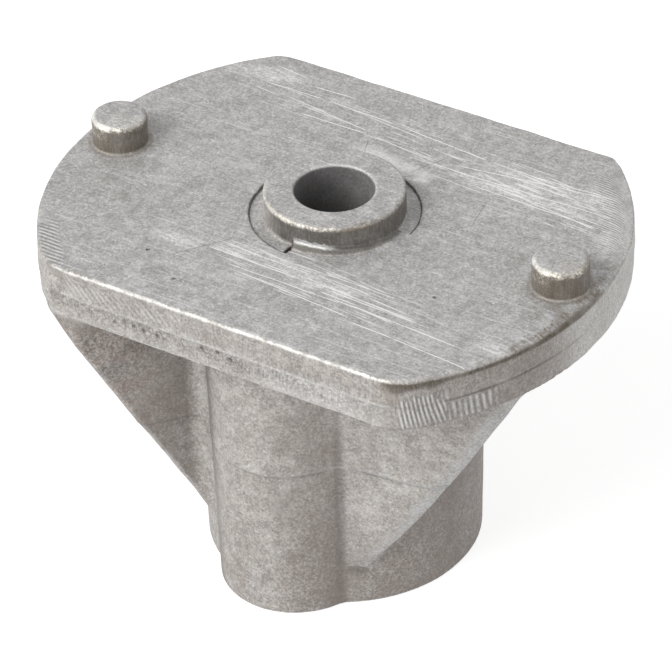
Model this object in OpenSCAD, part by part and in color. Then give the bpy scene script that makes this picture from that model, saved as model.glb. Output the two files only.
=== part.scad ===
// Mower blade holder: one light-alloy casting. A plate with two round ends and two flats carries
// a raised collar and two drive pins on top. Below it a hub with a key boss holds the engine
// crankshaft, and drafted gussets, all trimmed to one cone, tie the hub to the plate rim.
// It stands on the hub end. +Z is towards the blade, +X runs through the drive pins and the key
// boss points to -Y. The origin is on the shaft axis at the hub end. Lengths in millimetres.

/* [Plate] */
// length of the plate over its two round ends
plate_length = 75.2; // [73:0.2:80]
// width of the plate over its two flats
plate_width = 55.5; // [53:0.1:58]
// thickness of the plate
plate_thickness = 7.3; // [6.4:0.1:9]
// how much a small bevel takes off each plan corner
corner_bevel = 0.35; // [0.1:0.05:0.6]
// radius that breaks the upper edge all round
edge_radius = 0.5; // [0.4:0.1:1.2]
// height of the blade seat above the hub end
seat_height = 49; // [47:0.5:54]

/* [Hub] */
// hub diameter at its open end
hub_diameter = 36.2; // [35:0.2:38]
// key boss diameter at the open end
boss_diameter = 20; // [19:0.2:21]
// distance from the shaft axis to the centre of the key boss
boss_offset = 11.8; // [11.4:0.1:12.6]
// radius of the hollow where the key boss meets the hub
boss_fillet = 3; // [2.5:0.1:4]
// wall draft of the hub and key boss, degrees
hub_draft = 1; // [0.5:0.1:1.5]
// radius of the hollow between the hub and the plate
root_radius = 2; // [1:0.1:3]

/* [Crankshaft bore] */
// shaft bore diameter
bore_diameter = 22.2; // [20:0.1:23]
// depth of the shaft bore from the hub end
bore_depth = 40.5; // [36:0.5:41.5]
// width of the keyway
keyway_width = 4.8; // [4:0.1:6]
// distance from the shaft axis to the floor of the keyway
keyway_reach = 13.6; // [13:0.1:14.5]

/* [Collar and bolt hole] */
// blade bolt hole diameter
bolt_hole_diameter = 10.2; // [8:0.1:11]
// collar diameter
collar_diameter = 18; // [17:0.1:19]
// height of the collar above the plate
collar_height = 3.4; // [2.5:0.1:5]
// diameter of the shallow ring sunk round the collar
ring_diameter = 21.8; // [20.6:0.1:24]
// depth of the shallow ring
ring_depth = 0.5; // [0.2:0.05:0.8]

/* [Drive pins] */
// distance between the two pin axes
pin_spacing = 65; // [62:0.5:66]
// pin diameter
pin_diameter = 7.2; // [6:0.1:7.6]
// height of the pins above the plate
pin_height = 4; // [3:0.1:5]
// bevel round the pin tops
pin_bevel = 0.7; // [0.3:0.1:1]

/* [Gussets] */
// height above the hub end where the gussets run out on the hub
gusset_foot = 6.5; // [4:0.5:12]
// height above the hub end of the slight break in the free edges
gusset_break_height = 22.7; // [18:0.1:28]
// how far the free edges stand out at that break
gusset_break_rise = 0.35; // [0:0.05:0.6]
// distance of the outer face of the straight gusset from the shaft axis, at its foot
straight_gusset_outer = 15.5; // [15:0.1:15.8]
// distance of the inner face of the straight gusset from the shaft axis, at its foot
straight_gusset_inner = 12.9; // [12:0.1:13.4]
// angle between the two faces of the straight gusset in plan, degrees
straight_gusset_taper = 4.6; // [3:0.1:6]
// bearing of the diagonal gusset from the pin line, degrees
diagonal_gusset_bearing = 49; // [46:0.5:52]
// thickness of the diagonal gusset at its foot
diagonal_gusset_thickness = 2.6; // [2:0.1:3.4]
// draft of the gusset faces that look towards the key boss side, degrees
gusset_draft = 4; // [3:0.1:5.5]
// draft of the gusset faces that look away from it, degrees
gusset_back_draft = 1.5; // [0.5:0.1:3]

/* [Hidden] */
$fn = 96;
// overlap that joins neighbouring solids
lap = 0.6;
// how far the plate wall falls back below and above its mid line, and its lower bevel
lower_fall = 0.05;
upper_fall = 0.05;
lower_bevel = 0.12;
// how far the gussets stay back from the lower plate edge
rim_step = 0.2;
// bevels on the collar rim and at the two bore mouths
collar_bevel = 0.4;
bolt_mouth_bevel = 0.5;
bore_mouth_bevel = 0.5;

plate_radius = plate_length / 2;
half_width = plate_width / 2;
underside = seat_height - plate_thickness;
hub_radius = hub_diameter / 2;
boss_radius = boss_diameter / 2;
bore_radius = bore_diameter / 2;
bolt_hole_radius = bolt_hole_diameter / 2;
collar_radius = collar_diameter / 2;
pin_radius = pin_diameter / 2;
// height and widening of the drafted hub walls, which end inside the plate
wall_height = underside + lap;
wall_growth = wall_height * tan(hub_draft);
// bearing of the plan corners, where round ends meet flats, and of the bevels that break them
corner_bearing = asin(half_width / plate_radius);
bevel_bearing = (90 + corner_bearing) / 2;
bevel_distance = plate_radius * cos(bevel_bearing - corner_bearing) - corner_bevel;
// centre of the hollow that touches both the hub circle and the key boss circle
hollow_from_hub = hub_radius + boss_fillet;
hollow_from_boss = boss_radius + boss_fillet;
hollow_y = (pow(hollow_from_hub, 2) - pow(hollow_from_boss, 2) + pow(boss_offset, 2)) / (2 * boss_offset);
hollow_x = sqrt(pow(hollow_from_hub, 2) - pow(hollow_y, 2));
// the trimming cone runs from the hub wall at the foot, over a slight break, to the plate rim
foot_radius = hub_radius + gusset_foot * tan(hub_draft);
rim_inset = lower_fall + lower_bevel + rim_step;
rim_radius = plate_radius - rim_inset;
break_part = (gusset_break_height - gusset_foot) / (underside - gusset_foot);
break_radius = foot_radius + break_part * (rim_radius - foot_radius) + gusset_break_rise;
// where the gusset walls start, inside the hub, and end, beyond the rim
gusset_start = 4;
gusset_end = plate_radius + 2;

// half section of the plate edge, from the middle out to the given reach
module edge_section(reach) {
    polygon([
        [0, 0],
        [reach - lower_fall - lower_bevel, 0],
        [reach - lower_fall, lower_bevel],
        [reach, plate_thickness / 2],
        [reach - upper_fall, plate_thickness - edge_radius],
        [reach - upper_fall - edge_radius, plate_thickness],
        [0, plate_thickness]
    ]);
    translate([reach - upper_fall - edge_radius, plate_thickness - edge_radius]) circle(r = edge_radius);
}

// plate: a disc and a slab share one edge section, and small bevels break the plan corners
module plate() {
    intersection() {
        rotate_extrude() edge_section(plate_radius);
        rotate([90, 0, 90]) linear_extrude(3 * plate_radius, center = true) {
            edge_section(half_width);
            mirror([1, 0, 0]) edge_section(half_width);
        }
        bevel_block();
    }
}

// tall block whose slanted sides are the corner bevels
module bevel_block() {
    side_a = bevel_distance / cos(bevel_bearing);
    side_b = bevel_distance / sin(bevel_bearing);
    translate([0, 0, -1]) linear_extrude(plate_thickness + 2)
        polygon([[side_a, 0], [0, side_b], [-side_a, 0], [0, -side_b]]);
}

// drafted round wall of the hub or the key boss
module drafted_wall(radius) {
    cylinder(h = wall_height, r1 = radius, r2 = radius + wall_growth);
}

// fills the hollow on one side between hub and key boss; its wall keeps the same draft
module boss_hollow() {
    difference() {
        linear_extrude(wall_height) polygon([[0, 0], [0, -boss_offset], [hollow_x, -hollow_y]]);
        translate([hollow_x, -hollow_y, 0])
            cylinder(h = wall_height, r1 = boss_fillet, r2 = boss_fillet - wall_growth);
    }
}

// ring with a hollow corner that blends a round wall into the plate underside
module root_ring(radius) {
    wall = radius + underside * tan(hub_draft);
    translate([0, 0, underside]) rotate_extrude() difference() {
        translate([wall - 1, -root_radius]) square([root_radius + 1, root_radius + lap]);
        translate([wall + root_radius, -root_radius]) circle(r = root_radius);
    }
}

module hub() {
    drafted_wall(hub_radius);
    root_ring(hub_radius);
    translate([0, -boss_offset, 0]) {
        drafted_wall(boss_radius);
        root_ring(boss_radius);
    }
    boss_hollow();
    mirror([1, 0, 0]) boss_hollow();
}

// solid of two cones that trims the free edges of all gussets
module trimming_cone() {
    rotate_extrude() polygon([[0, gusset_foot], [foot_radius, gusset_foot], [break_radius, gusset_break_height],
        [rim_radius, underside], [rim_radius, wall_height], [0, wall_height]]);
}

// cuts what it is given off just behind the two plate flats
module within_flats() {
    reach = plate_width / 2 - rim_inset;
    intersection() {
        translate([-plate_length, -reach, 0]) cube([2 * plate_length, 2 * reach, seat_height]);
        children();
    }
}

// block along +X behind a drafted face; the face looks to +Y at the given distance at the foot
module drafted_side(distance, draft) {
    top = distance + (wall_height - gusset_foot) * tan(draft);
    translate([gusset_start, 0, 0]) rotate([90, 0, 90]) linear_extrude(gusset_end - gusset_start)
        polygon([[-plate_radius, gusset_foot], [distance, gusset_foot], [top, wall_height], [-plate_radius, wall_height]]);
}

// gusset beside the key boss, its inner face along the pin line
module straight_gusset() {
    intersection() {
        trimming_cone();
        rotate([0, 0, straight_gusset_taper]) mirror([0, 1, 0]) drafted_side(straight_gusset_outer, gusset_draft);
        drafted_side(-straight_gusset_inner, gusset_back_draft);
    }
}

// gusset along +X; its face on the +Y side almost reaches the shaft axis when carried inwards
module diagonal_gusset() {
    inset = 0.3;
    intersection() {
        trimming_cone();
        drafted_side(-inset, gusset_draft);
        mirror([0, 1, 0]) drafted_side(inset + diagonal_gusset_thickness, gusset_back_draft);
    }
}

// all gussets: two diagonal ones to opposite corners, with the steeper face towards the key boss,
// and two straight ones that are half-turn copies of each other
module gussets() {
    within_flats() rotate([0, 0, 180 + diagonal_gusset_bearing]) diagonal_gusset();
    within_flats() rotate([0, 0, diagonal_gusset_bearing]) mirror([0, 1, 0]) diagonal_gusset();
    straight_gusset();
    rotate([0, 0, 180]) straight_gusset();
}

// raised collar, standing in its shallow ring, with a bevelled rim
module collar() {
    translate([0, 0, seat_height - ring_depth - lap]) {
        cylinder(h = collar_height + ring_depth + lap - collar_bevel, r = collar_radius);
        translate([0, 0, collar_height + ring_depth + lap - collar_bevel])
            cylinder(h = collar_bevel, r1 = collar_radius, r2 = collar_radius - collar_bevel);
    }
}

// drive pin with a bevelled top
module drive_pin() {
    translate([0, 0, seat_height - lap]) {
        cylinder(h = pin_height + lap - pin_bevel, r = pin_radius);
        translate([0, 0, pin_height + lap - pin_bevel])
            cylinder(h = pin_bevel, r1 = pin_radius, r2 = pin_radius - pin_bevel);
    }
}

// blind crankshaft bore with its keyway, opening at the hub end
module crank_bore() {
    translate([0, 0, -1]) cylinder(h = bore_depth + 1, r = bore_radius);
    translate([0, 0, -1]) cylinder(h = 1 + bore_mouth_bevel, r1 = bore_radius + 1 + bore_mouth_bevel, r2 = bore_radius);
    translate([-keyway_width / 2, -keyway_reach, -1]) cube([keyway_width, keyway_reach, bore_depth + 1]);
}

// blade bolt hole through web and collar, bevelled at the top
module bolt_hole() {
    top = seat_height + collar_height;
    translate([0, 0, bore_depth - 1]) cylinder(h = top - bore_depth + 2, r = bolt_hole_radius);
    translate([0, 0, top - bolt_mouth_bevel])
        cylinder(h = bolt_mouth_bevel + 1, r1 = bolt_hole_radius, r2 = bolt_hole_radius + bolt_mouth_bevel + 1);
}

module blade_holder() {
    difference() {
        union() {
            difference() {
                translate([0, 0, underside]) plate();
                translate([0, 0, seat_height - ring_depth]) cylinder(h = 1, r = ring_diameter / 2);
            }
            hub();
            gussets();
            collar();
            for (x = [-pin_spacing / 2, pin_spacing / 2]) translate([x, 0, 0]) drive_pin();
        }
        crank_bore();
        bolt_hole();
    }
}

color([0.66, 0.65, 0.63]) blade_holder();
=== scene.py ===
import math

import bpy
import numpy as np
from mathutils import Matrix, Vector


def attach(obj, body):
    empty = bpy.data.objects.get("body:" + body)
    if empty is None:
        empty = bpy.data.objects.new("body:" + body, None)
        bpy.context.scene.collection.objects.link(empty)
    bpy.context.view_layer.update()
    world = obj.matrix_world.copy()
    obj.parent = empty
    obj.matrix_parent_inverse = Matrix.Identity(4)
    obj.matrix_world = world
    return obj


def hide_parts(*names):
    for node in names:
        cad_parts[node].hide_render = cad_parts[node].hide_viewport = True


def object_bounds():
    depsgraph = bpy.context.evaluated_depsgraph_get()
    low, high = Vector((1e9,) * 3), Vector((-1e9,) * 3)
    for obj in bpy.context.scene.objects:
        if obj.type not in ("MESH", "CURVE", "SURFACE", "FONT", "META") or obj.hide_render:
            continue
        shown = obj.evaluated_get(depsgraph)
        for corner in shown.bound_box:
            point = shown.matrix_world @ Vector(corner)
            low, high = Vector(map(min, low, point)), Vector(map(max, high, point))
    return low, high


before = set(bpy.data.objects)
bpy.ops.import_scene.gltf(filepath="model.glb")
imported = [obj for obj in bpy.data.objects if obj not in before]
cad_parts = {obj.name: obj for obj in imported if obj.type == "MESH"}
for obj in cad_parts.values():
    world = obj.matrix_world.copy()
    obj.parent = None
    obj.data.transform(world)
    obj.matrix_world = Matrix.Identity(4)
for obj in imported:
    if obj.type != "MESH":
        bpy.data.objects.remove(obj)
cad_box = [list(c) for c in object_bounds()]

# Sizes in millimetres, in the frame of the CAD model: origin on the shaft axis at the hub end.
MM = 0.001
SEAT = 49.0
PLATE_THICK = 7.3
UNDER = SEAT - PLATE_THICK
PLATE_RADIUS, HALF_WIDTH = 37.6, 27.75
HUB_RADIUS, BOSS_RADIUS, BOSS_OFFSET, HOLLOW_RADIUS = 18.1, 10.0, 11.8, 3.0
BORE_RADIUS, BORE_DEPTH, KEY_WIDTH, KEY_REACH = 11.1, 40.5, 4.8, 13.6
HOLE_RADIUS, COLLAR_RADIUS, COLLAR_HEIGHT, RING_RADIUS, RING_DEPTH = 5.1, 9.0, 3.4, 10.9, 0.5
PIN_X, PIN_RADIUS, PIN_HEIGHT = 32.5, 3.6, 4.0
HUB_DRAFT = 1
FOOT, BREAK_Z, RISE, RIM_STEP = 6.5, 22.7, 0.35, 0.37
# gussets: distances of the two faces from the axis at the foot, and their drafts and skew in degrees
GUSSET_START, LOW_DRAFT, HIGH_DRAFT = 4, 1.5, 4
STRAIGHT_NEAR, STRAIGHT_FAR, STRAIGHT_SKEW = 12.9, 15.5, 4.6
DIAGONAL_LEFT, DIAGONAL_RIGHT = 0.3, 2.9
STRAIGHT_TURNS = (0, 180)
DIAGONAL_TURNS = ((229, 1), (49, -1))
PARTING_Z = 22.5
NOTCH_X = -0.6
GRID = 0.3
MAX_TRIANGLES = 196000


def tan(d):
    """Tangent of an angle in degrees."""
    return math.tan(math.radians(d))


# the photograph's camera: angles in degrees, distance and offset in millimetres, focal length in pixels
PHOTO_WIDTH = 672
AZIMUTH, ELEVATION, ROLL = 33.043, 36.098, -2.019
DISTANCE, OFFSET_X, OFFSET_Y = 562.767, -0.101, 15.784
FOCUS = 4484.657
a, e, t = (math.radians(v) for v in (AZIMUTH, ELEVATION, ROLL))
back = Vector((math.sin(a) * math.cos(e), -math.cos(a) * math.cos(e), math.sin(e)))
right = Vector((math.cos(a), math.sin(a), 0))
above = back.cross(right)
right, above = right * math.cos(t) + above * math.sin(t), above * math.cos(t) - right * math.sin(t)
spot = Vector((0, 0, SEAT)) - right * OFFSET_X - above * OFFSET_Y + back * DISTANCE


def seen_at(pixel, axis, level):
    """The point that a pixel of the photograph shows on the plane where the axis has the given level."""
    ray = (right * (pixel[0] - PHOTO_WIDTH / 2) - above * (pixel[1] - PHOTO_WIDTH / 2)) / FOCUS - back
    return tuple(spot + ray * ((level - spot[axis]) / ray[axis]))


def on_seat(pixel):
    """The point of the blade seat that a pixel shows."""
    return seen_at(pixel, 2, SEAT)


def on_near_flat(pixel):
    """The point of the near flat that a pixel shows."""
    return seen_at(pixel, 1, -HALF_WIDTH)


# smooth noise and blends
rng = np.random.default_rng(11)
LATTICE = rng.random((32, 32, 32)).astype(np.float32)


def noise(p, size, seed=0):
    """Smooth value noise from -1 to 1, one feature per size millimetres."""
    q = p / size + np.array([seed * 7.31, seed * 3.77, seed * 5.13])
    i = np.floor(q).astype(int)
    f = q - i
    f = f * f * (3 - 2 * f)
    out = 0.0
    for dx in (0, 1):
        for dy in (0, 1):
            w2 = (f[:, 0] if dx else 1 - f[:, 0]) * (f[:, 1] if dy else 1 - f[:, 1])
            for dz in (0, 1):
                w = w2 * (f[:, 2] if dz else 1 - f[:, 2])
                out = out + w * LATTICE[(i[:, 0] + dx) & 31, (i[:, 1] + dy) & 31, (i[:, 2] + dz) & 31]
    return out * 2 - 1


def join(a, b, r):
    """Union with a hollow corner of radius r."""
    return np.maximum(r, np.minimum(a, b)) - np.hypot(np.maximum(r - a, 0), np.maximum(r - b, 0))


def cut(a, b, r):
    """Intersection with a rounded corner of radius r."""
    return np.minimum(-r, np.maximum(a, b)) + np.hypot(np.maximum(r + a, 0), np.maximum(r + b, 0))


def smax(a, b, k):
    """The greater of two values, with a blend of width k."""
    h = np.clip(0.5 + 0.5 * (a - b) / k, 0, 1)
    return b * (1 - h) + a * h + k * h * (1 - h)


def step(a, b, v):
    """0 below a and 1 above b, smooth between the two."""
    t = np.clip((v - a) / (b - a), 0, 1)
    return t * t * (3 - 2 * t)


# the casting as a distance field
HUB_REACH, BOSS_REACH = HUB_RADIUS + HOLLOW_RADIUS, BOSS_RADIUS + HOLLOW_RADIUS
HOLLOW_Y = (HUB_REACH ** 2 - BOSS_REACH ** 2 + BOSS_OFFSET ** 2) / (2 * BOSS_OFFSET)
HOLLOW_X = math.sqrt(HUB_REACH ** 2 - HOLLOW_Y ** 2)
FOOT_RADIUS = HUB_RADIUS + FOOT * tan(HUB_DRAFT)
RIM_RADIUS = PLATE_RADIUS - RIM_STEP
BREAK_RADIUS = FOOT_RADIUS + (BREAK_Z - FOOT) / (UNDER - FOOT) * (RIM_RADIUS - FOOT_RADIUS) + RISE
MID = UNDER + PLATE_THICK / 2
# pores on the near flat and on the seat: pixel of the photograph and radius
FLAT_PORES = [((114, 323), 0.32), ((133, 327), 0.30), ((143, 332), 0.38), ((157, 337), 0.34),
              ((201, 349), 0.28), ((217, 353), 0.30), ((230, 361), 0.32)]
SEAT_PORES = [((148, 249), 0.26), ((435, 297), 0.24), ((174, 278), 0.22)]
PORES = [(*on_near_flat(pixel), size) for pixel, size in FLAT_PORES]
PORES += [(*on_seat(pixel), size) for pixel, size in SEAT_PORES]


def hub_field(x, y, z, r):
    """Hub and key boss with the hollows that touch both."""
    g = z * tan(HUB_DRAFT)
    hub = r - (HUB_RADIUS + g)
    boss = np.hypot(x, y + BOSS_OFFSET) - (BOSS_RADIUS + g)
    dx, dy = np.abs(x) - HOLLOW_X, y + HOLLOW_Y
    # between the directions from the hollow's centre to the centres of the two round walls
    c1 = dx * HOLLOW_Y + dy * HOLLOW_X
    c2 = -HOLLOW_X * dy - (HOLLOW_Y - BOSS_OFFSET) * dx
    hollow = HOLLOW_RADIUS - g - np.hypot(dx, dy)
    return np.where((c1 <= 0) & (c2 <= 0) & (hub > -3) & (boss > -3), hollow, np.minimum(hub, boss))


def cone_field(z, r):
    """The cone that trims the gussets, with a small nose at their foot."""
    profile = np.interp(z, [FOOT - 3, FOOT - 1, FOOT, BREAK_Z, UNDER, UNDER + 9],
                     [FOOT_RADIUS - 4, FOOT_RADIUS - 0.2, FOOT_RADIUS + 0.4, BREAK_RADIUS, RIM_RADIUS,
                      RIM_RADIUS + 0.2])
    return (r - profile) * 0.85


def straight_field(x, y, z):
    """Wall that runs along x beside the key boss, its far face skewed."""
    near = y + STRAIGHT_NEAR - (z - FOOT) * tan(LOW_DRAFT)
    along = -turned(x, y, STRAIGHT_SKEW)[1]
    far = along - STRAIGHT_FAR - (z - FOOT) * tan(HIGH_DRAFT)
    return cut(cut(near, far, 0.5), GUSSET_START - x, 0.3)


def diagonal_field(x, y, z):
    """Wall that runs out from the axis along x."""
    left = y + DIAGONAL_LEFT - (z - FOOT) * tan(HIGH_DRAFT)
    right = -y - DIAGONAL_RIGHT - (z - FOOT) * tan(LOW_DRAFT)
    return cut(cut(left, right, 0.5), GUSSET_START - x, 0.3)


def turned(x, y, deg):
    """Coordinates of points along and across a direction."""
    s, c = math.sin(math.radians(deg)), math.cos(math.radians(deg))
    return x * c + y * s, -x * s + y * c


def plate_field(p, r, bearing, fine):
    """Plate with round ends, flats, worn bevel and blunt near corners; fine adds the cast skin."""
    x, y, z = p[:, 0], p[:, 1], p[:, 2]
    fall = 0.05 * np.abs(np.clip((z - MID) / (PLATE_THICK / 2), -1, 1))
    # the two near corners are blunt
    blunt = 1.2 + step(-20, -26, y) * np.where(x < 0, 2.6 - 1.6 * step(SEAT - 2, SEAT, z), 1.0)
    side = smax(r - (PLATE_RADIUS - fall), np.abs(y) - (HALF_WIDTH - fall), blunt) + 0.05
    top_r = np.full(len(z), 0.45)
    if fine:
        far = step(25, 27, y)
        side = side + (0.025 + 0.05 * far) * noise(p, 2.1, 1) + 0.025 * noise(p * [1, 1, 0.2], 0.9, 2)
        # the mould halves meet at mid height with a thin flash; the lower band is a little behind the
        # upper one
        flash = np.exp(-((z - MID + 0.2 - 0.15 * noise(p, 6, 7)) / 0.2) ** 2)
        side = side - 0.06 * flash + 0.05 * step(0.1, -0.3, z - MID + 0.2)
        top_r = top_r + 0.12 * noise(p, 3, 8)
    plate = cut(side, z - SEAT, top_r)
    # broad worn bevel along the right-hand arc
    inner = np.interp(bearing, [-50, -42, -25, -8, 10, 24, 42, 47, 52],
                      [38.5, 37.3, 36.6, 35.9, 35.9, 35.2, 35.2, 36, 38.5])
    if fine:
        inner = inner + 0.22 * noise(p, 1.6, 9)
    slant = math.radians(21)
    plate = smax(plate, (r - inner) * math.sin(slant) + (z - SEAT) * math.cos(slant), 0.12)
    return cut(plate, UNDER - z, 0.2)


def ledge_height(bearing):
    """Height over the seat of the leftover metal at the collar."""
    return np.interp(bearing, [-95, -75, -57, -40, 0], [1.05, 1.0, 0.75, 0.45, 0.15])


def ring_floor(bearing):
    """Height of the ring's floor, which rises towards both ends of the ring."""
    share = np.interp(bearing, [-180, -120, -95, 0, 30, 120, 180], [0.75, 0.6, 0.5, 0.1, 0.55, 0.8, 0.75])
    return SEAT - RING_DEPTH * share


def parting(p):
    """Height of the line where the mould halves meet on hub and gussets."""
    return PARTING_Z + 0.2 + 1.1 * np.clip((p[:, 0] - 3) / 22, 0, 1) + 0.25 * noise(p, 9, 3)


def solid(p, fine=True):
    """Distance to the casting's surface in millimetres, below 0 inside; fine adds cast skin and pores."""
    x, y, z = p[:, 0], p[:, 1], p[:, 2]
    r = np.hypot(x, y)
    bearing = np.degrees(np.arctan2(y, x))
    plate = plate_field(p, r, bearing, fine)
    # hub with key boss, standing on its end
    body = np.maximum(hub_field(x, y, z, r), z - SEAT + 3)
    whole = join(body, plate, 2.0)
    # gussets: field, what trims it, hollow corner at its root and rounding of its free edge
    cone = cone_field(z, r)
    if fine:
        cone = cone + 0.05 * noise(p, 3, 12)
    outer = cut(cone, np.abs(y) - (HALF_WIDTH - RIM_STEP), 0.4)
    gussets = [(straight_field(*turned(x, y, turn), z), cone, 1.5, 1.5) for turn in STRAIGHT_TURNS]
    for turn, flip in DIAGONAL_TURNS:
        u, v = turned(x, y, turn)
        gussets.append((diagonal_field(u, flip * v, z), outer, 2.4, 0.9))
    core = whole
    for wall, limit, hollow, edge in gussets:
        rooted = join(core, np.maximum(wall, z - SEAT + 3), hollow)
        whole = np.minimum(whole, cut(rooted, limit, edge))
    if fine:
        # parting line round hub and gussets, and a slightly wavy skin
        zp = parting(p)
        low = (r > 15) & (z < UNDER - 2)
        whole = whole - low * (0.08 * np.exp(-((z - zp) / 0.22) ** 2) - 0.05 * step(0.5, -0.5, z - zp))
        whole = whole + 0.04 * noise(p, 5, 4) * (z < SEAT - 1.5) + 0.012 * noise(p, 1.3, 13)
    whole = cut(whole, -z, 0.4)
    # the ring round the collar stops at a notch in front, where a ledge of leftover metal begins
    sector = np.maximum(NOTCH_X - x, y - 0.1)
    whole = np.maximum(whole, -np.maximum(np.maximum(r - RING_RADIUS, ring_floor(bearing) - z), -sector))
    ledge = cut(r - np.interp(z, [SEAT, SEAT + 1.1], [9.95, 9.35]), z - SEAT - ledge_height(bearing), 0.15)
    ledge = np.maximum.reduce([ledge, sector, SEAT - 3 - z])
    collar_side = r - COLLAR_RADIUS
    pin = np.hypot(np.abs(x) - PIN_X, y) - PIN_RADIUS
    if fine:
        collar_side = collar_side + 0.03 * noise(p, 1.7, 5)
        pin = pin + 0.035 * noise(p, 1.3, 6)
    collar = np.maximum(cut(collar_side, z - SEAT - COLLAR_HEIGHT, 0.4), SEAT - 4 - z)
    whole = join(whole, np.minimum(collar, ledge), 0.10)
    u, v = turned(x - NOTCH_X, y + 9.8, -94)
    slot = np.maximum.reduce([np.abs(u) - 1.1, np.abs(v) - 0.25, SEAT - 0.7 - z, 9.15 - r])
    whole = smax(whole, -slot, 0.1)
    pin = np.maximum(cut(pin, z - SEAT - PIN_HEIGHT, 0.75), SEAT - 4 - z)
    whole = join(whole, pin, 0.2)
    # bolt hole, bore and keyway
    whole = cut(whole, HOLE_RADIUS - r, 0.35)
    bore = np.maximum(r - BORE_RADIUS, z - BORE_DEPTH)
    key = np.maximum.reduce([np.abs(x) - KEY_WIDTH / 2, -KEY_REACH - y, y, z - BORE_DEPTH])
    whole = cut(whole, -np.minimum(bore, key), 0.35)
    if fine:
        for px, py, pz, pr in PORES:
            whole = smax(whole, pr - np.sqrt((x - px) ** 2 + (y - py) ** 2 + (z - pz) ** 2), 0.1)
    return whole


# mesh from the field
def surface(h):
    """Quads on the zero level of solid(), with one vertex in each grid cell that the surface crosses."""
    lo = np.array([-PLATE_RADIUS - 1.2, -HALF_WIDTH - 1.2, -1.2])
    hi = np.array([PLATE_RADIUS + 1.2, HALF_WIDTH + 1.2, SEAT + PIN_HEIGHT + 1.2])
    n = np.ceil((hi - lo) / h).astype(int) + 1
    block = 6
    block_counts = np.ceil(n / block).astype(int)
    blocks = np.stack(np.meshgrid(*[np.arange(k) for k in block_counts], indexing="ij"), -1).reshape(-1, 3)
    centre = lo + (blocks * block + block / 2) * h
    near = np.abs(solid(centre, False)) < block * h * 0.87 + 0.5
    field = np.full(block_counts * block + 1, 9.0, np.float32)
    done = np.zeros(block_counts * block + 1, bool)
    cell = np.stack(np.meshgrid(*[np.arange(block + 1)] * 3, indexing="ij"), -1).reshape(-1, 3)
    for b in blocks[near]:
        done[tuple(slice(v * block, v * block + block + 1) for v in b)] = True
    where = np.argwhere(done)
    for k in range(0, len(where), 200000):
        w = where[k:k + 200000]
        d = solid(lo + w * h, False)
        close = np.abs(d) < 2.2 * h + 0.3
        d[close] = solid(lo + w[close] * h)
        field[w[:, 0], w[:, 1], w[:, 2]] = d
    inside = field < 0
    corners = [(i, j, k) for i in (0, 1) for j in (0, 1) for k in (0, 1)]

    def at(a, c):
        return a[c[0]:a.shape[0] - 1 + c[0], c[1]:a.shape[1] - 1 + c[1], c[2]:a.shape[2] - 1 + c[2]]

    count = sum(at(inside, c).astype(np.int8) for c in corners)
    known = np.logical_and.reduce([at(done, c) for c in corners])
    active = (count > 0) & (count < 8) & known
    cells = np.argwhere(active)
    number = np.full(active.shape, -1, np.int32)
    number[active] = np.arange(len(cells))
    total = np.zeros((len(cells), 3))
    hits = np.zeros(len(cells))
    for a in corners:
        for axis in range(3):
            if a[axis]:
                continue
            b = list(a)
            b[axis] = 1
            value_a = field[tuple((cells + a).T)]
            value_b = field[tuple((cells + b).T)]
            cross = (value_a < 0) != (value_b < 0)
            t = np.where(cross, value_a / np.where(cross, value_a - value_b, 1), 0)
            pt = cells + np.array(a, float)
            pt[:, axis] += t
            total += pt * cross[:, None]
            hits += cross
    verts = lo + total / hits[:, None] * h
    quads = []
    for axis in range(3):
        u, v = [k for k in range(3) if k != axis]
        here = [slice(1, -1)] * 3
        here[axis] = slice(0, -1)
        a = inside[tuple(here)]
        there = list(here)
        there[axis] = slice(1, None)
        b = inside[tuple(there)]
        edge = np.argwhere(a != b)
        g = edge.copy()
        g[:, u] += 1
        g[:, v] += 1
        flip = a[tuple(edge.T)]
        four = []
        for du, dv in ((0, 0), (1, 0), (1, 1), (0, 1)):
            c = g.copy()
            c[:, u] -= du
            c[:, v] -= dv
            good = (c < np.array(number.shape)).all(1) & (c >= 0).all(1)
            m = np.full(len(c), -1)
            m[good] = number[tuple(c[good].T)]
            four.append(m)
        q = np.stack(four, 1)
        keep = (q >= 0).all(1)
        q, flip = q[keep], flip[keep]
        if axis == 1:
            flip = ~flip
        q[flip] = q[flip][:, ::-1]
        quads.append(q)
    return verts, np.concatenate(quads)


def slope(p, e=0.02):
    """Gradient of solid()."""
    g = np.empty_like(p)
    for k in range(3):
        d = np.zeros(3)
        d[k] = e
        g[:, k] = (solid(p + d) - solid(p - d)) / (2 * e)
    return g


def settle(v, rounds):
    """Moves points onto the surface, and gives its normals there."""
    for _ in range(rounds):
        g = slope(v)
        move = solid(v)[:, None] * g / np.maximum((g * g).sum(1), 0.2)[:, None]
        size = np.linalg.norm(move, axis=1)
        v = v - move * np.minimum(1, 0.2 / np.maximum(size, 1e-9))[:, None]
    r = np.hypot(v[:, 0], v[:, 1])
    ring = (v[:, 0] < NOTCH_X - 0.3) | (v[:, 1] > 0.3)
    floor_z = ring_floor(np.degrees(np.arctan2(v[:, 1], v[:, 0])))
    for edge_z in (np.full(len(v), SEAT), floor_z):
        near = ring & (np.hypot(r - RING_RADIUS, v[:, 2] - edge_z) < 0.17)
        v[near, :2] *= (RING_RADIUS / r[near])[:, None]
        v[near, 2] = edge_z[near]
    n = slope(v, 0.05)
    n /= np.maximum(np.linalg.norm(n, axis=1), 1e-9)[:, None]
    return np.clip(v, np.array(cad_box[0]) / MM, np.array(cad_box[1]) / MM), n


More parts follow.
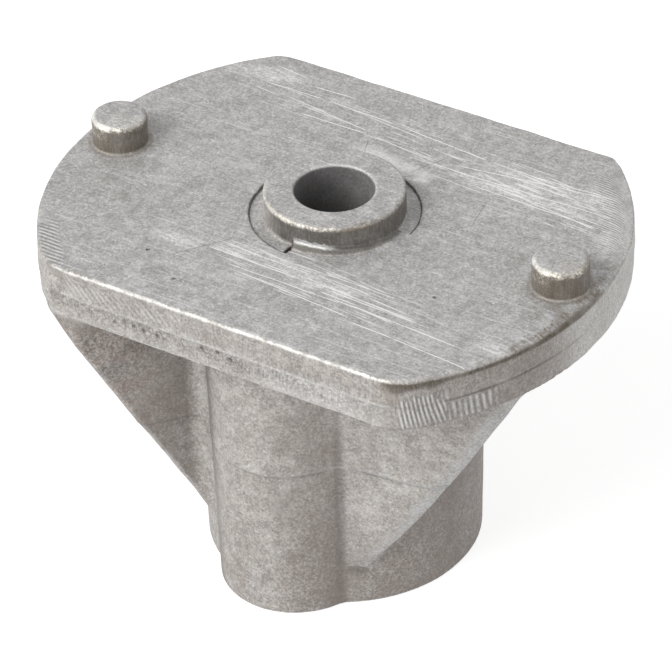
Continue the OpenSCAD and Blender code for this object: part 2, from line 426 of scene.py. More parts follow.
def fill_mesh(mesh, v, faces):
    """Gives an empty mesh its vertices, in millimetres, and its faces, all with as many corners."""
    k = faces.shape[1]
    mesh.vertices.add(len(v))
    mesh.vertices.foreach_set("co", (v * MM).astype(np.float32).ravel())
    mesh.loops.add(len(faces) * k)
    mesh.loops.foreach_set("vertex_index", faces.astype(np.int32).ravel())
    mesh.polygons.add(len(faces))
    mesh.polygons.foreach_set("loop_start", (np.arange(len(faces)) * k).astype(np.int32))
    mesh.update(calc_edges=True)


verts, quads = surface(GRID)
verts, normals = settle(verts, 2)
face = np.cross(verts[quads[:, 2]] - verts[quads[:, 0]], verts[quads[:, 3]] - verts[quads[:, 1]])
if ((face * normals[quads[:, 0]]).sum(1) < 0).mean() > 0.5:
    quads = quads[:, ::-1]
mesh = bpy.data.meshes.new("casting")
fill_mesh(mesh, verts, quads)
casting = bpy.data.objects.new("casting", mesh)
bpy.context.scene.collection.objects.link(casting)
if len(quads) * 2 > MAX_TRIANGLES:
    r = np.hypot(verts[:, 0], verts[:, 1])
    at_collar = (r < 12) & (verts[:, 2] > SEAT - 0.8)
    at_pins = (np.hypot(np.abs(verts[:, 0]) - PIN_X, verts[:, 1]) < 5) & (verts[:, 2] > SEAT - 0.5)
    at_edge = ((r > 34.3) | (np.abs(verts[:, 1]) > HALF_WIDTH - 1.2)) & (verts[:, 2] > SEAT - 1.8)
    at_lower_edge = (r > 36.4) & (np.abs(verts[:, 2] - UNDER) < 0.7)
    plain = ~(at_collar | at_pins | at_edge | at_lower_edge)
    casting.vertex_groups.new(name="plain").add(np.flatnonzero(plain).tolist(), 1.0, "REPLACE")
    thin = casting.modifiers.new("thin", "DECIMATE")
    thin.vertex_group = "plain"
    thin.vertex_group_factor = 10
    thin.ratio = MAX_TRIANGLES / (len(quads) * 2)
    small = bpy.data.meshes.new_from_object(casting.evaluated_get(bpy.context.evaluated_depsgraph_get()))
    casting.modifiers.clear()
    casting.data = small
    bpy.data.meshes.remove(mesh)
    mesh = small
    mesh.name = "casting"
    co = np.zeros(len(mesh.vertices) * 3, np.float32)
    mesh.vertices.foreach_get("co", co)
    verts, normals = settle(co.reshape(-1, 3) / MM, 2)
    mesh.vertices.foreach_set("co", (verts * MM).astype(np.float32).ravel())
    mesh.update()
mesh.polygons.foreach_set("use_smooth", np.ones(len(mesh.polygons), bool))
mesh.normals_split_custom_set_from_vertices(normals.astype(np.float32))
print("polygons", len(mesh.polygons))

# stains and wear, with painted shade and painted highlights, worked out for each vertex
STAIN_AND_SHADE = (0.235, 0.200, 0.180)
GRIME_AND_SHADE = (0.190, 0.158, 0.120)
SOOT_AND_SHADE = (0.085, 0.078, 0.068)
CRUST = (0.095, 0.080, 0.058)
WHITE = (0.80, 0.795, 0.785)
BURNISH_AND_HIGHLIGHT = (0.93, 0.92, 0.88)
GOLD = (0.86, 0.82, 0.71)
RUST = (0.30, 0.225, 0.195)
BLUE_GREY = (0.58, 0.59, 0.595)
HOLE_SHADE = (0.13, 0.13, 0.135)
BEARING = np.degrees(np.arctan2(verts[:, 1], verts[:, 0]))
RADIUS = np.hypot(verts[:, 0], verts[:, 1])
# place and normal of each vertex, and how far it lies in from the near flat and the round ends, and out
# from the walls of collar, hub and pins
VX, VY, VZ = verts.T
NX, NY, NZ = normals.T
FLAT_IN = VY + HALF_WIDTH
ARC_IN = PLATE_RADIUS - RADIUS
COLLAR_OUT = RADIUS - COLLAR_RADIUS
HUB_OUT = RADIUS - HUB_RADIUS
PIN_OUT = np.hypot(np.abs(VX) - PIN_X, VY) - PIN_RADIUS
blotch = noise(verts, 1.3, 21)
fleck = noise(verts, 0.55, 22)
cloudy = noise(verts, 4.5, 23) * 0.7 + noise(verts, 2.0, 24) * 0.3


def between(v, low, high, soft=0.2):
    """1 between two values, with soft ends."""
    return step(low - soft, low + soft, v) * step(high + soft, high - soft, v)


def patch(centre, radii, turn=0.0, soft=0.5):
    """Soft elliptic patch with an uneven border."""
    d = verts - np.array(centre)
    u, v = turned(d[:, 0], d[:, 1], turn)
    far = np.sqrt((u / radii[0]) ** 2 + (v / radii[1]) ** 2 + (d[:, 2] / radii[2]) ** 2)
    return step(1 + soft, 1 - soft, far + 0.35 * blotch)


paint, flecks = np.zeros((len(verts), 4)), np.zeros((len(verts), 4))


def coat(colour, amount, layer=paint):
    """Lays one colour over the ones before it; amount is 0 to 1 for each vertex."""
    amount = np.clip(amount, 0, 1)[:, None]
    layer[:] = layer * (1 - amount) + amount * np.array([*colour, 1.0])


def fleck_coat(colour, amount):
    """The same for the layer that the material breaks up into fine flecks."""
    coat(colour, amount, flecks)


seat_top = step(0.8, 0.95, NZ) * between(VZ, SEAT - 0.3, SEAT + 0.1, 0.1)
hub_zone = between(VZ, -1, UNDER - 0.2, 0.4)
rim = between(VZ, UNDER - 0.2, SEAT - 0.3, 0.15) * step(0.5, 0.2, NZ)

# brown stain on the walls that look to +X and in the valleys beside the gussets, partly painted shade on
# the side away from the key light
coat(STAIN_AND_SHADE, hub_zone * step(0.2, 0.85, NX) * step(-0.5, -0.2, NZ) * (0.44 + 0.30 * cloudy)
     * step(UNDER + 8, 15, VZ))
fleck_coat(STAIN_AND_SHADE, hub_zone * step(0.1, 0.7, NX) * 0.35 + hub_zone * step(18, 6, VZ) * 0.35)
# painted light: the gusset faces that slope down towards the floor are made paler
coat(WHITE, hub_zone * step(-0.15, -0.40, NZ) * step(0.9, 1.9, HUB_OUT) * (0.33 + 0.15 * blotch))
coat(STAIN_AND_SHADE, hub_zone * step(0.15, 0.5, cloudy) * 0.28)
# painted shade: the left gusset's face and the hub beside it, under the plate, are darkened
coat(STAIN_AND_SHADE, hub_zone * step(-12, -15, VX) * step(-0.2, -0.5, NY) * (0.26 + 0.28 * cloudy))
# painted shade: dark flecks under the plate at its near left
fleck_coat(SOOT_AND_SHADE, hub_zone * patch((-20, -22, 37), (8, 8, 5), 0, 0.6) * 0.5)
coat(STAIN_AND_SHADE, hub_zone * step(0.1, 0.5, NX) * step(1.9, 0.9, HUB_OUT) * step(-14, -18, VY) * 0.35)
fleck_coat(RUST, hub_zone * patch((-21, -25, 34), (6, 6, 7), 0, 0.5) * step(-0.5, 0.4, blotch) * 0.8)
fleck_coat(RUST, hub_zone * patch((-18, -21.5, 27.5), (4, 4, 5), 0, 0.5) * step(-0.4, 0.4, blotch) * 0.8)
# dark witness line of the mould halves, and painted shade with some dirt in the creases beside the key boss
witness = between(VZ - parting(verts) + 0.28, -0.16, 0.16, 0.08) * hub_zone * step(0.9, 1.9, HUB_OUT)
coat(SOOT_AND_SHADE, witness * (0.5 + 0.3 * cloudy))
boss_far = np.hypot(VX, VY + BOSS_OFFSET) - BOSS_RADIUS - VZ * tan(HUB_DRAFT)
coat(SOOT_AND_SHADE, hub_zone * step(0.5, 0.2, np.abs(boss_far)) * step(-0.50, -0.72, NX) * step(-9, -12, VY) * 0.55)
coat(SOOT_AND_SHADE, hub_zone * step(1.1, 0.3, np.hypot(VX - 9.7, VY + 16.2)) * 0.45)
# blue-grey on the free edge of the right gusset where it faces down, painted shade in the crease under its
# foot, a painted shade line and chips under the rim
free_edge = hub_zone * between(VY, -17.5, -11.5, 0.3) * step(5, 8, VX)
free_edge *= step(-0.15, -0.4, NZ) * step(UNDER - 1, UNDER - 4, VZ)
coat(BLUE_GREY, free_edge * (0.55 + 0.2 * blotch))
coat(SOOT_AND_SHADE, hub_zone * patch((11.0, -14.8, 5.4), (2.6, 1.6, 0.7), -35, 0.3) * 0.5)
# painted shade: dark line under the lower edge of the rim
under_rim = step(1.8, 1.2, ARC_IN) * between(BEARING, -48, -26, 2)
coat(SOOT_AND_SHADE, under_rim * between(VZ, UNDER - 0.6, UNDER - 0.05, 0.1) * (0.8 + 0.3 * blotch))
fleck_coat(WHITE, under_rim * between(VZ, UNDER - 4, UNDER - 1, 0.8) * step(-0.2, 0.3, blotch) * 0.7)
fleck_coat(WHITE, hub_zone * step(-0.75, -0.9, NY) * step(6, 10, VX) * step(UNDER, 12, VZ) * 0.12)
# rim of the plate: brown on the right, a dark line under the parting, a grimy worn bevel at the top
right_rim = rim * step(-50, -44, BEARING) * step(4, -22, BEARING)
coat(STAIN_AND_SHADE, right_rim * (0.28 + 0.3 * cloudy))
coat(WHITE, rim * between(BEARING, -13, 60, 8) * (0.45 + 0.2 * cloudy))
coat(STAIN_AND_SHADE, rim * between(BEARING, -30, -10, 6) * 0.35)
near_flat = rim * step(-0.8, -0.95, NY)
coat(STAIN_AND_SHADE, near_flat * step(MID, MID + 0.4, VZ) * (0.10 + 0.12 * cloudy))
coat(WHITE, near_flat * step(MID, MID - 0.4, VZ) * step(2, 10, VX) * (0.25 + 0.2 * cloudy))
right_arc = right_rim * step(-39, -37, BEARING)
coat(SOOT_AND_SHADE, right_arc * between(VZ, MID - 0.40, MID - 0.12, 0.08) * 0.9 * step(-0.9, -0.2, cloudy))
coat(SOOT_AND_SHADE, right_arc * between(VZ, MID + 0.2, MID + 0.38, 0.06) * 0.6 * step(-0.3, 0.2, cloudy))
coat(CRUST, rim * between(BEARING, -48.5, -38, 1.5)
     * between(VZ + 0.5 * blotch, SEAT - 1.5, SEAT - 0.3, 0.2) * 0.85)
coat(GRIME_AND_SHADE, rim * between(BEARING, -50, -46.5, 0.7) * (0.35 + 0.3 * cloudy))
fleck_coat(STAIN_AND_SHADE, right_rim * 0.4)
fleck_coat(SOOT_AND_SHADE, step(0.55, 0.30, FLAT_IN) * between(VZ, MID - 2.2, MID - 0.3, 0.5) * step(30, 10, VX)
           * 0.45)
worn_bevel = step(3.2, 2.4, ARC_IN) * between(NZ, 0.80, 0.975, 0.02)
coat(GRIME_AND_SHADE, worn_bevel * between(BEARING, -22, 8, 5) * (0.15 + 0.25 * blotch))
fleck_coat(GRIME_AND_SHADE, between(BEARING, -30, 10, 6) * step(2.7, 2.0, ARC_IN) * between(NZ, 0.80, 0.975, 0.02)
           * step(-0.5, 0.2, blotch) * 0.8)
coat(CRUST, between(BEARING, -50, 0, 8) * step(1.6, 1.0, ARC_IN)
     * between(VZ, SEAT - 0.95, SEAT - 0.40, 0.10) * (0.85 + 0.5 * blotch))
coat(WHITE, worn_bevel * between(BEARING, 14, 48, 5) * (0.30 + 0.25 * blotch))
coat(WHITE, rim * step(0.8, 0.95, -NY) * between(VZ, MID - 0.30, MID - 0.08, 0.1) * 0.55)
coat(WHITE, step(0.55, 0.30, FLAT_IN) * between(VZ, UNDER, UNDER + 0.35, 0.15) * 0.35)
# painted highlight, over some real burnish, along the rounded top edge of the near flat
near_edge = step(0.65, 0.45, FLAT_IN) * between(NZ, 0.30, 0.86, 0.12) * step(SEAT - 1, SEAT - 0.6, VZ)
near_edge *= step(27, 24, VX) * (0.62 + 0.5 * fleck)
coat(BURNISH_AND_HIGHLIGHT, near_edge)
fleck_coat(GRIME_AND_SHADE, step(0.75, 0.55, FLAT_IN) * between(NZ, 0.7, 0.97, 0.1) * step(SEAT - 1, SEAT - 0.6, VZ)
           * step(-0.1, 0.5, blotch) * 0.7)
# rubbed white patches on the blade seat
RUBBED = [((0.6, 12.6), (4.6, 1.3), -6), ((5.8, 11.0), (1.6, 0.6), 0), ((-2.5, -13.0), (6.5, 1.1), 0),
          ((6, -14.2), (7, 1.6), -5),
          ((32.0, -15.6), (2.5, 1.2), 0), ((30.0, 17.5), (6.5, 2.2), 0), ((33.5, 11.8), (2.0, 3.0), 0),
          ((-24.0, 22.6), (5.0, 1.5), 10),
          ((-14.0, -15.2), (3.0, 1.0), 0), ((18.0, 14.5), (10.0, 1.6), -3), ((21.0, 17.5), (8.0, 1.2), -3)]
rubbed = np.maximum.reduce([patch((*c, SEAT), (*r, 5), t, 0.6) for c, r, t in RUBBED]) * seat_top
coat(WHITE, rubbed * 0.25)
coat(WHITE, np.maximum(patch((0.9, 12.5, SEAT), (4.6, 1.2, 5), -6, 0.6),
                       patch((5.8, 11.0, SEAT), (1.3, 0.5, 5), 0, 0.6)) * seat_top)
fleck_coat(WHITE, rubbed * 0.8)
# collar: dark wall, paler on the left with painted light where the lamp falls, a painted highlight on the
# rim in front, brown rim on the right, light ridge on the ledge
collar_wall = step(1.2, 0.9, COLLAR_OUT) * step(-0.4, -0.25, COLLAR_OUT) * between(VZ, SEAT + 0.1,
                                                                                   SEAT + 3.05, 0.12)
collar_dark = step(-138, -100, BEARING) * step(60, -30, BEARING)
collar_dark *= 0.72 + 0.1 * blotch - 0.14 * step(-60, -20, BEARING)
collar_dark += between(BEARING, 15, 150, 45) * 0.62 + step(-150, -120, BEARING) * 0.15
coat(SOOT_AND_SHADE, collar_wall * collar_dark)
# painted light: the left side of the collar wall, which faces the key light, is made paler
coat(WHITE, collar_wall * step(-128, -150, BEARING) * 0.50)
collar_rim = between(COLLAR_OUT, -0.5, 0.2, 0.12)
# painted highlight along the rounded rim of the collar in front
coat(GOLD, collar_rim * step(SEAT + 2.9, SEAT + 3.1, VZ) * step(0.94, 0.8, NZ)
     * between(BEARING, -176, -95, 18) * (0.45 + 0.4 * fleck))
fleck_coat(GOLD, collar_rim * step(SEAT + 2.8, SEAT + 3.0, VZ) * step(0.97, 0.85, NZ)
           * between(BEARING, -120, -20, 20) * 0.8)
fleck_coat(GRIME_AND_SHADE, between(COLLAR_OUT, -0.45, 0.3, 0.15) * step(SEAT + 1.9, SEAT + 2.7, VZ)
           * between(BEARING, -60, 10, 12) * step(-0.6, 0.2, blotch) * 0.9)
coat(WHITE, between(COLLAR_OUT, 0.1, 0.7, 0.1) * between(VZ - SEAT - ledge_height(BEARING), -0.2, 0.1, 0.08)
     * between(BEARING, -93, -62, 8) * 0.9)
# painted shade in the notch in front of the collar
coat(SOOT_AND_SHADE, patch((NOTCH_X, -9.9, SEAT - 0.1), (0.45, 1.0, 1.0), -4, 0.2) * step(0, 0.15, COLLAR_OUT) * 0.9)
# painted highlight on the bevel at the back of the bolt hole
coat(WHITE, between(RADIUS, HOLE_RADIUS, HOLE_RADIUS + 0.5, 0.1) * between(NZ, 0.15, 0.9, 0.1)
     * step(SEAT + 2.8, SEAT + 3.1, VZ) * step(-2, 2, VY) * 0.5)
# pins: brown walls and foot, a little painted shade on their right sides, a painted highlight on the bevel,
# white at the front-left and golden flecks round the front, grime and a painted shadow beside the right one
pin_wall = step(0.4, 0.2, PIN_OUT) * step(SEAT + 0.1, SEAT + 0.3, VZ) * step(0.6, 0.3, NZ)
coat(GRIME_AND_SHADE, pin_wall * (0.78 + 0.25 * blotch))
coat(SOOT_AND_SHADE, pin_wall * (0.3 + 0.1 * step(-0.5, 0.3, NX)))
pin_bevel = step(0.4, 0.2, PIN_OUT) * step(SEAT + 2.7, SEAT + 3.2, VZ) * between(NZ, 0.1, 0.97, 0.08)
pin_turn = np.degrees(np.arctan2(VY, VX - PIN_X * np.sign(VX)))
# painted highlight, white, on the front-left of the pin bevels
coat(BURNISH_AND_HIGHLIGHT, pin_bevel * between(NZ, 0.35, 0.95, 0.1) * between(pin_turn, -165, -80, 15)
     * (0.6 + 0.4 * fleck))
fleck_coat(GOLD, pin_bevel * between(pin_turn, -110, 10, 20) * 0.8)
fleck_coat(GRIME_AND_SHADE, pin_bevel * between(pin_turn, -60, 60, 20) * step(-0.2, 0.3, blotch) * 0.7)
fleck_coat(GOLD, step(0.4, 0.2, PIN_OUT) * between(VZ, SEAT + 2.0, SEAT + 3.2, 0.5)
           * between(pin_turn, -170, -90, 15) * 0.35)
coat(GRIME_AND_SHADE, between(PIN_OUT, -0.1, 0.6, 0.25) * between(VZ, SEAT - 0.2, SEAT + 0.25, 0.15) * 0.45)
# grime with a painted shadow beside the right pin, on its right
coat(GRIME_AND_SHADE, seat_top * patch((35.2, -2.5, SEAT), (1.8, 5.5, 5), -8, 0.5) * step(-0.4, 0.3, blotch) * 0.4)
# bolt hole: painted shade inside, most on its left side; bore: darker inside
coat(HOLE_SHADE, step(HOLE_RADIUS + 0.35, HOLE_RADIUS + 0.1, RADIUS) * step(SEAT + 3.35, SEAT + 2.9, VZ)
     * (0.66 + 0.18 * step(2, -3, VX)))
coat(GRIME_AND_SHADE, step(14.2, 13.9, RADIUS) * step(BORE_DEPTH + 0.3, BORE_DEPTH - 0.3, VZ) * step(0.1, 0.6, VZ)
     * 0.35)

# scratch zones, tool chatter with its phase in waves, and burnish
zone = np.maximum.reduce([patch((20, 15.8, SEAT), (17, 5, 9), -2),
                          patch((-9, 18.5, SEAT), (15, 3.2, 9), -2) * 0.7,
                          patch((6, -14.6, SEAT), (17, 3.6, 9), -5),
                          patch((18, -17.6, SEAT), (10, 2.6, 9), -5) * 0.5])
left_marks = seat_top * between(ARC_IN, 0.3, 2.8, 0.4) * between(BEARING, -147, -131, 2)
right_marks = seat_top * between(ARC_IN, 1.0, 4.4, 0.9) * between(BEARING, 16, 42, 4)
flat_marks = step(-0.8, -0.95, NY) * step(0.45, 0.30, FLAT_IN) * between(VX + 2 * cloudy, -24, -5, 4)
flat_marks *= 0.35 * between(VZ + 0.5 * blotch, SEAT - 3.3, SEAT - 1.2, 0.6)
corner_marks = between(BEARING, -46.5, -37.5, 1) * step(1.5, 1.1, ARC_IN)
corner_marks *= between(VZ - 0.6 * fleck, UNDER + 0.4, SEAT - 2.4, 0.4)
arc_marks = between(BEARING, -37, -27, 1.5) * step(1.3, 0.9, ARC_IN)
arc_marks *= 0.8 * between(VZ - 0.3 * fleck, UNDER + 0.3, MID - 0.6, 0.25)
# each chatter zone: where it is, its direction and its pitch
CHATTER = [(left_marks, (0, 1, 0), 0.62), (right_marks, (0.1, 1, 0), 0.42),
           (flat_marks, (0.75, 0, 0.66), 0.75),
           (corner_marks, (0.67, 0.74, 0.20), 0.58), (arc_marks, (0.55, 0.83, 0.10), 0.80)]
chatter, phase = np.zeros(len(verts)), np.zeros(len(verts))
for amount, direction, pitch in CHATTER:
    phase = np.where(amount > chatter, verts @ np.array(direction) / pitch, phase)
    chatter = np.maximum(chatter, amount)


def keep(name, values):
    """Stores four values for each vertex for the material."""
    layer = mesh.attributes.new(name, "FLOAT_COLOR", "POINT")
    layer.data.foreach_set("color", values.astype(np.float32).ravel())


keep("paint", paint)
keep("flecks", flecks)
keep("marks", np.stack([zone * seat_top, chatter, phase, np.maximum(near_edge, rubbed * 0.5)], 1))

# cast metal
def empty_tree(owner):
    """Gives a material or the world an empty node tree, in which the functions below make their nodes."""
    global tree
    owner.use_nodes = True
    tree = owner.node_tree
    tree.nodes.clear()


def node(kind, **settings):
    n = tree.nodes.new(kind)
    for key, value in settings.items():
        setattr(n, key, value)
    return n


def feed(n, key, value):
    """Links an output to an input, or sets the input to a plain value."""
    if isinstance(value, bpy.types.NodeSocket):
        tree.links.new(value, n.inputs[key])
    else:
        n.inputs[key].default_value = value


def math_(op, a, b):
    n = node("ShaderNodeMath", operation=op)
    feed(n, 0, a)
    feed(n, 1, b)
    return n.outputs[0]


def absolute_(a):
    return math_("ABSOLUTE", a, 0)


def noise_(scale, detail, rough, vec):
    """Blender's noise, scale features to a unit of vec."""
    n = node("ShaderNodeTexNoise")
    feed(n, "Vector", vec)
    feed(n, "Scale", scale)
    feed(n, "Detail", detail)
    feed(n, "Roughness", rough)
    return n.outputs["Fac"]


def ramp_(v, a, b, low=0.0, high=1.0):
    """Smooth step of v from a to b, from low to high."""
    n = node("ShaderNodeMapRange", interpolation_type="SMOOTHSTEP")
    for k, x in (("Value", v), ("From Min", a), ("From Max", b), ("To Min", low), ("To Max", high)):
        feed(n, k, x)
    return n.outputs["Result"]


def mix_(f, a, b):
    """Mixes colour a into colour b by the factor f."""
    n = node("ShaderNodeMix", data_type="RGBA")
    feed(n, 0, f)
    feed(n, 6, a)
    feed(n, 7, b)
    return n.outputs[2]


def scaled(vec, s):
    n = node("ShaderNodeMapping")
    feed(n, "Vector", vec)
    feed(n, "Scale", s)
    return n.outputs[0]


def dot_(direction, shift=0.0):
    """Distance along a direction, in millimetres, from the plane at the given shift."""
    n = node("ShaderNodeVectorMath", operation="DOT_PRODUCT")
    feed(n, 0, mm)
    feed(n, 1, direction)
    return math_("SUBTRACT", n.outputs["Value"], shift)


def both(*masks):
    """Product of the masks."""
    out = masks[0]
    for m in masks[1:]:
        out = math_("MULTIPLY", out, m)
    return out


def either(*masks):
    """The greatest of the masks."""
    out = masks[0]
    for m in masks[1:]:
        out = math_("MAXIMUM", out, m)
    return out


def own_colour(layer):
    """Colour of a painted layer, which holds it multiplied by its amount."""
    n = node("ShaderNodeVectorMath", operation="SCALE")
    feed(n, 0, layer.outputs["Color"])
    feed(n, "Scale", math_("DIVIDE", 1.0, math_("MAXIMUM", layer.outputs["Alpha"], 0.01)))
    return n.outputs[0]


def line(a, b, width=0.10, fade=1.6):
    """Single scratch on the plate top from a to b, tapering at its ends."""
    dx, dy = b[0] - a[0], b[1] - a[1]
    size = math.hypot(dx, dy)
    ux, uy = dx / size, dy / size
    middle = dot_((ux, uy, 0), a[0] * ux + a[1] * uy + size / 2)
    end = ramp_(absolute_(middle), size / 2, size / 2 - fade)
    across = absolute_(math_("ADD", dot_((-uy, ux, 0), a[1] * ux - a[0] * uy), wobble))
    return both(ramp_(across, width, width * 0.35), end)


def scratches(turn, pitch, share, seed):
    """Field of long fine scratches, all along one direction."""
    c, s = math.cos(math.radians(turn)), math.sin(math.radians(turn))
    across = math_("DIVIDE", math_("ADD", dot_((-s, c, 0)), wobble), pitch)
    cell = math_("FLOOR", across, 0)
    mid = absolute_(math_("SUBTRACT", math_("FRACT", across, 0), 0.5))
    pick = node("ShaderNodeTexWhiteNoise", noise_dimensions="1D")
    feed(pick, "W", math_("ADD", cell, seed))
    where = node("ShaderNodeCombineXYZ")
    feed(where, 0, math_("MULTIPLY", dot_((c, s, 0)), 0.14))
    feed(where, 1, math_("MULTIPLY", math_("ADD", cell, seed), 3.71))
    stretch = noise_(1.0, 1, 0.5, where.outputs[0])
    chosen = ramp_(pick.outputs["Value"], 1 - share, 1.05 - share)
    return both(ramp_(mid, 0.30, 0.10), chosen, ramp_(stretch, 0.50, 0.60))


cast_alloy = bpy.data.materials.new("cast_alloy")
empty_tree(cast_alloy)
coord = node("ShaderNodeTexCoord").outputs["Object"]
mm = scaled(coord, (1000, 1000, 1000))
wobble = math_("MULTIPLY", math_("SUBTRACT", noise_(0.12, 1, 0.5, mm), 0.5), 0.4)
# ends of the lines on the blade seat, in pixels of the photograph: scratches and dark hairlines
SCRATCHES = [((262, 80), (327, 100)), ((327, 100), (400, 126)), ((400, 126), (491, 162)),
             ((297, 112), (370, 135)),
             ((370, 135), (440, 164)), ((307, 105), (370, 132)), ((420, 160), (615, 220)),
             ((455, 165), (615, 200)),
             ((472, 185), (615, 235)), ((530, 176), (615, 199)), ((540, 220), (559, 229)),
             ((595, 241), (612, 247)),
             ((480, 180), (600, 232)), ((480, 172), (525, 195)), ((205, 245), (290, 275)),
             ((225, 262), (345, 305)),
             ((235, 270), (350, 318)), ((290, 262), (400, 300)), ((300, 275), (420, 325)),
             ((330, 298), (465, 350)),
             ((255, 240), (320, 262)), ((345, 320), (470, 370)), ((310, 85), (360, 100)),
             ((277, 65), (310, 79))]
HAIRLINES = [((158, 265), (174, 278)), ((404, 175), (452, 156)), ((364, 155), (370, 137)),
             ((472, 227), (487, 200)),
             ((396, 231), (410, 234)), ((238, 210), (251, 211)), ((238, 237), (160, 257))]
long_ones = 0.0
for a, b in SCRATCHES:
    long_ones = math_("MAXIMUM", long_ones, line(on_seat(a), on_seat(b)))
hairs = 0.0
for a, b in HAIRLINES:
    hairs = math_("MAXIMUM", hairs, line(on_seat(a), on_seat(b), 0.08))
holes = 0.0
for x, y, z, r in PORES:
    n = node("ShaderNodeVectorMath", operation="DISTANCE")
    feed(n, 0, mm)
    feed(n, 1, (x, y, z))
    holes = math_("MAXIMUM", holes, ramp_(n.outputs["Value"], r * 1.25, r * 0.8))

marks = node("ShaderNodeAttribute", attribute_name="marks")
marks_rgb = node("ShaderNodeSeparateColor")
feed(marks_rgb, 0, marks.outputs["Color"])
zone_, chatter_, phase_ = marks_rgb.outputs
burnish = marks.outputs["Alpha"]
phase_ = math_("ADD", phase_, math_("MULTIPLY", noise_(0.15, 1, 0.5, mm), 1.6))
wave = math_("ADD", math_("MULTIPLY", math_("SINE", math_("MULTIPLY", phase_, 2 * math.pi), 0), 0.5), 0.5)
troughs = both(chatter_, math_("SUBTRACT", 1.0, wave))
chatter_ = both(chatter_, wave)
facing = node("ShaderNodeSeparateXYZ")
feed(facing, 0, node("ShaderNodeNewGeometry").outputs["Normal"])
up = ramp_(facing.outputs[2], 0.75, 0.95)
fields = both(zone_, 0.9, either(scratches(-3, 0.38, 0.6, 3), scratches(-7, 0.50, 0.45, 95)))
fields = either(fields, both(0.25, scratches(0.5, 0.50, 0.40, 130)))
streak = noise_(1.0, 4, 0.7, scaled(mm, (0.45, 2.4, 1.0)))
scratch = both(up, either(both(long_ones, ramp_(streak, 0.30, 0.50, 0.45, 1.0)), fields))

# plain skin: top a neutral grey, walls a little warmer
TOP, TOP_DARK = (0.560, 0.548, 0.538, 1), (0.370, 0.360, 0.352, 1)
WALL, WALL_DARK = (0.520, 0.492, 0.462, 1), (0.325, 0.302, 0.280, 1)
mottle = noise_(0.7, 6, 0.72, mm)
tint = noise_(0.4, 4, 0.7, mm)
grain = noise_(3.2, 4, 0.75, mm)
tone = math_("ADD", math_("MULTIPLY", mottle, 0.35),
             math_("ADD", math_("MULTIPLY", grain, 0.45), math_("MULTIPLY", streak, 0.2)))
base = mix_(up, mix_(ramp_(tone, 0.42, 0.58), WALL_DARK, WALL),
            mix_(ramp_(tone, 0.42, 0.58), TOP_DARK, TOP))
base = mix_(ramp_(tint, 0.52, 0.66, 0.0, 0.26), base, (*STAIN_AND_SHADE, 1))
base = mix_(ramp_(tint, 0.47, 0.36, 0.0, 0.28), base, (0.66, 0.66, 0.66, 1))
speck = noise_(2.6, 4, 0.85, mm)
base = mix_(ramp_(speck, 0.55, 0.68, 0.0, 0.34), base, (*WHITE, 1))
base = mix_(ramp_(speck, 0.44, 0.31, 0.0, 0.34), base, (*SOOT_AND_SHADE, 1))
# stains, wear, painted shade and painted highlights over it, broken up by the grain
coats = node("ShaderNodeAttribute", attribute_name="paint")
cover = both(coats.outputs["Alpha"], ramp_(grain, 0.30, 0.52, 0.72, 1.0))
base = mix_(cover, base, own_colour(coats))
torn = node("ShaderNodeAttribute", attribute_name="flecks")
fine = noise_(2.4, 3, 0.8, mm)
torn_cover = both(torn.outputs["Alpha"], ramp_(mix_(both(up, 0.6), fine, streak), 0.47, 0.56))
base = mix_(torn_cover, base, own_colour(torn))
# finer light and dark over all of it
shade = node("ShaderNodeVectorMath", operation="SCALE")
feed(shade, 0, base)
feed(shade, "Scale", both(ramp_(speck, 0.30, 0.70, 0.85, 1.15), ramp_(grain, 0.35, 0.65, 0.94, 1.06)))
base = shade.outputs[0]
fur = noise_(1.0, 3, 0.7, scaled(mm, (5.0, 5.0, 0.5)))
height_z = dot_((0, 0, 1))
radius = node("ShaderNodeVectorMath", operation="LENGTH")
feed(radius, 0, scaled(mm, (1, 1, 0)))
radius = radius.outputs["Value"]
walls = both(ramp_(facing.outputs[2], 0.5, 0.2), ramp_(height_z, UNDER, UNDER + 0.5),
             ramp_(radius, HOLE_RADIUS + 0.3, HOLE_RADIUS + 0.6))
# painted shade: thin dark line in the crease at the outer edge of the ring, up to the notch
ahead = either(ramp_(dot_((1, 0, 0)), NOTCH_X + 0.1, NOTCH_X - 0.1), ramp_(dot_((0, 1, 0)), -0.1, 0.1))
uneven = math_("MULTIPLY", math_("SUBTRACT", mottle, 0.5), 0.35)
off_edge = absolute_(math_("SUBTRACT", math_("ADD", radius, uneven), RING_RADIUS - 0.06))
ring_crease_shade = both(ramp_(off_edge, 0.14, 0.06), ahead,
              ramp_(height_z, SEAT - 0.9, SEAT - 0.7), ramp_(height_z, SEAT + 0.3, SEAT + 0.1))
base = mix_(both(walls, ramp_(fur, 0.50, 0.68, 0.0, 0.10)), base, (*WHITE, 1))
base = mix_(both(walls, ramp_(fur, 0.46, 0.30, 0.0, 0.30)), base, (*SOOT_AND_SHADE, 1))
base = mix_(both(chatter_, 0.75, ramp_(mottle, 0.3, 0.55)), base, (*WHITE, 1))
base = mix_(both(troughs, 0.50, ramp_(mottle, 0.3, 0.55)), base, (*SOOT_AND_SHADE, 1))
base = mix_(both(ring_crease_shade, 0.75), base, (*SOOT_AND_SHADE, 1))
base = mix_(both(scratch, 0.95), base, (0.95, 0.95, 0.94, 1))
base = mix_(both(hairs, up, 0.5), base, (*SOOT_AND_SHADE, 1))
base = mix_(both(holes, 0.8), base, (*SOOT_AND_SHADE, 1))

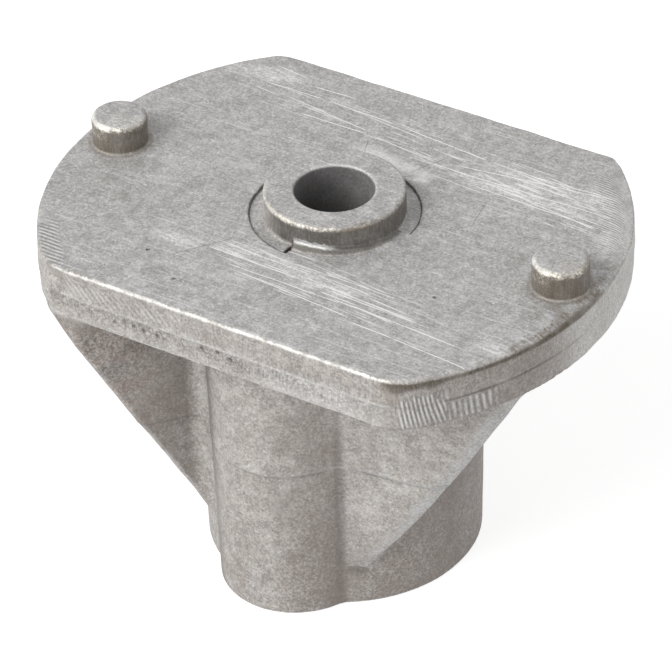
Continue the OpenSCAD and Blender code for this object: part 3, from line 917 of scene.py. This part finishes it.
bsdf = node("ShaderNodeBsdfPrincipled")
feed(bsdf, "Base Color", base)
feed(bsdf, "Metallic", 0.3)
feed(bsdf, "Specular IOR Level", 0.3)
worn = either(scratch, burnish)
plain_roughness = ramp_(mottle, 0.25, 0.75, 0.50, 0.60)
feed(bsdf, "Roughness", math_("SUBTRACT", plain_roughness, math_("MULTIPLY", worn, 0.15)))
height = math_("ADD", math_("MULTIPLY", grain, 0.5), math_("MULTIPLY", mottle, 0.7))
height = math_("ADD", height, math_("ADD", both(chatter_, 0.5), both(walls, fur, 0.4)))
bump = node("ShaderNodeBump")
feed(bump, "Strength", 0.8)
feed(bump, "Distance", 0.00016)
feed(bump, "Height", height)
feed(bsdf, "Normal", bump.outputs[0])
out = node("ShaderNodeOutputMaterial")
feed(out, "Surface", bsdf.outputs[0])
mesh.materials.append(cast_alloy)

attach(casting, "root")
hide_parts("blade_holder")

# floor, light and camera
FLOOR_GAP = 0.00003


def seen_directly():
    """1 for what the camera sees, also in gloss or through glass, and 0 for light on the object."""
    path = node("ShaderNodeLightPath")
    sharp = math_("MAXIMUM", path.outputs["Is Glossy Ray"], path.outputs["Is Transmission Ray"])
    return math_("MAXIMUM", path.outputs["Is Camera Ray"], sharp)


bpy.ops.mesh.primitive_plane_add(size=3, location=(0, 0, -FLOOR_GAP))
floor = bpy.context.object
floor.name = "floor"
pale = bpy.data.materials.new("floor")
empty_tree(pale)
seen = seen_directly()
diffuse = node("ShaderNodeBsdfDiffuse")
feed(diffuse, "Color", (0.5, 0.5, 0.5, 1))
glow = node("ShaderNodeEmission")
feed(glow, "Color", (1, 1, 1, 1))
feed(glow, "Strength", math_("MULTIPLY", seen, 0.78))
add = node("ShaderNodeAddShader")
feed(add, 0, diffuse.outputs[0])
feed(add, 1, glow.outputs[0])
out = node("ShaderNodeOutputMaterial")
feed(out, "Surface", add.outputs[0])
floor.data.materials.append(pale)

world = bpy.data.worlds.new("studio")
bpy.context.scene.world = world
empty_tree(world)
background = node("ShaderNodeBackground")
feed(background, "Color", (1, 1, 1, 1))
feed(background, "Strength", ramp_(seen_directly(), 0, 1, 0.40, 1.0))
out = node("ShaderNodeOutputWorld")
feed(out, "Surface", background.outputs[0])


def lamp(name, place, aim, size, watts):
    """Rectangular lamp at a place, turned to what it lights."""
    light = bpy.data.lights.new(name, "AREA")
    light.shape = "RECTANGLE"
    light.size, light.size_y = size
    light.energy = watts
    ob = bpy.data.objects.new(name, light)
    bpy.context.scene.collection.objects.link(ob)
    ob.location = Vector(place)
    ob.rotation_euler = (Vector(aim) - Vector(place)).to_track_quat("-Z", "Y").to_euler()


CENTRE = (0, 0, 0.03)
lamp("key", (-0.30, -0.75, 0.62), CENTRE, (0.7, 0.7), 9.0)
lamp("fill", (0.80, -0.15, 0.22), CENTRE, (0.6, 0.4), 1.1)

lens = bpy.data.cameras.new("camera")
lens.sensor_width = 36
lens.lens = FOCUS / PHOTO_WIDTH * 36
lens.clip_start, lens.clip_end = 0.01, 20
camera = bpy.data.objects.new("camera", lens)
bpy.context.scene.collection.objects.link(camera)
rows = [(right[k], above[k], back[k], spot[k] * MM) for k in range(3)]
camera.matrix_world = Matrix(rows + [(0, 0, 0, 1)])
bpy.context.scene.camera = camera
bpy.context.scene.view_settings.view_transform = "Standard"

bpy.context.view_layer.update()
